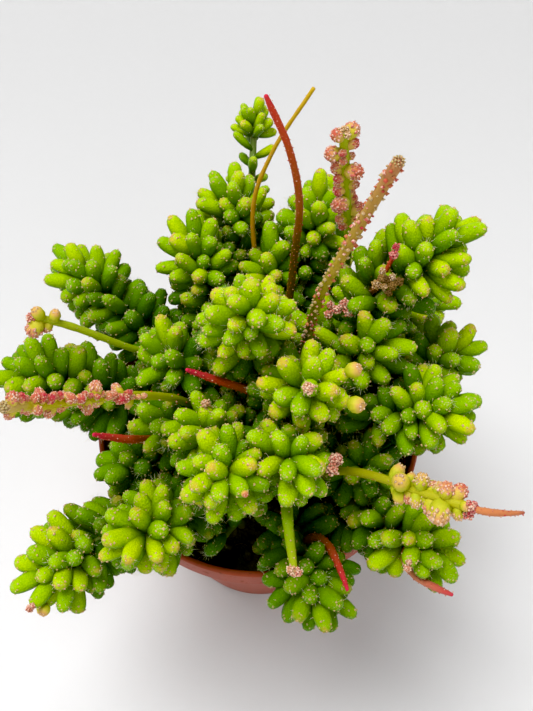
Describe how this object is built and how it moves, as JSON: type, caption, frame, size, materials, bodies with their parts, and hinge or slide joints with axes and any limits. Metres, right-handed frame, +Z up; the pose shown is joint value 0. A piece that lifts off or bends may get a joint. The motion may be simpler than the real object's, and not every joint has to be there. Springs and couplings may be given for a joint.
{
  "type": "potted rhipsalis",
  "caption": "Bushy mistletoe cactus with short plump segments, red shoots and budded stems, growing in dark soil in a round terracotta-coloured nursery pot.",
  "frame": {"origin": "centre of the pot's flat base, on the surface that it stands on", "axes": "+Z up, -Y towards the side that faces the camera in the picture, +X to that camera's right"},
  "size_m": [0.1506, 0.1706, 0.2115],
  "materials": {
    "terracotta_plastic": "matte, slightly scuffed",
    "peat_soil": "rough, damp and dark",
    "segment_green": "waxy satin",
    "shoot_red": "waxy satin",
    "shoot_yellow_brown": "dry satin",
    "stem_brownish_green": "waxy satin",
    "stem_fresh_green": "waxy satin"
  },
  "bodies": {
    "root": {"budded_stem_back": "stem_fresh_green", "budded_stem_left": "stem_brownish_green", "budded_stem_left_back": "stem_fresh_green", "budded_stem_right": "stem_fresh_green", "leafy_stem_back": "segment_green", "leafy_stem_back_left": "segment_green", "leafy_stem_back_middle": "segment_green", "leafy_stem_back_over_rim": "segment_green", "leafy_stem_back_right": "segment_green", "leafy_stem_back_right_low": "segment_green", "leafy_stem_back_young": "segment_green", "leafy_stem_centre_back": "segment_green", "leafy_stem_centre_left": "segment_green", "leafy_stem_crown": "segment_green", "leafy_stem_crown_right": "segment_green", "leafy_stem_front": "segment_green", "leafy_stem_front_inner": "segment_green", "leafy_stem_front_left": "segment_green", "leafy_stem_front_left_outer": "segment_green", "leafy_stem_front_low": "segment_green", "leafy_stem_front_over_rim": "segment_green", "leafy_stem_front_right": "segment_green", "leafy_stem_front_right_low": "segment_green", "leafy_stem_left": "segment_green", "leafy_stem_left_back": "segment_green", "leafy_stem_left_front": "segment_green", "leafy_stem_left_inner": "segment_green", "leafy_stem_left_middle": "segment_green", "leafy_stem_right": "segment_green", "leafy_stem_right_back": "segment_green", "leafy_stem_right_back_inner": "segment_green", "leafy_stem_right_back_low": "segment_green", "leafy_stem_right_inner": "segment_green", "leafy_stem_right_outer": "segment_green", "pale_shoot_front": "stem_fresh_green", "pot": "terracotta_plastic", "red_shoot_front": "shoot_red", "red_shoot_front_right": "shoot_red", "red_shoot_left": "shoot_red", "red_shoot_middle": "shoot_red", "red_shoot_right": "shoot_red", "red_shoot_right_back": "shoot_red", "red_shoot_tall": "shoot_red", "soil": "peat_soil", "thick_stem_right": "stem_brownish_green", "thin_shoot_back": "shoot_yellow_brown"}
  },
  "joints": []
}
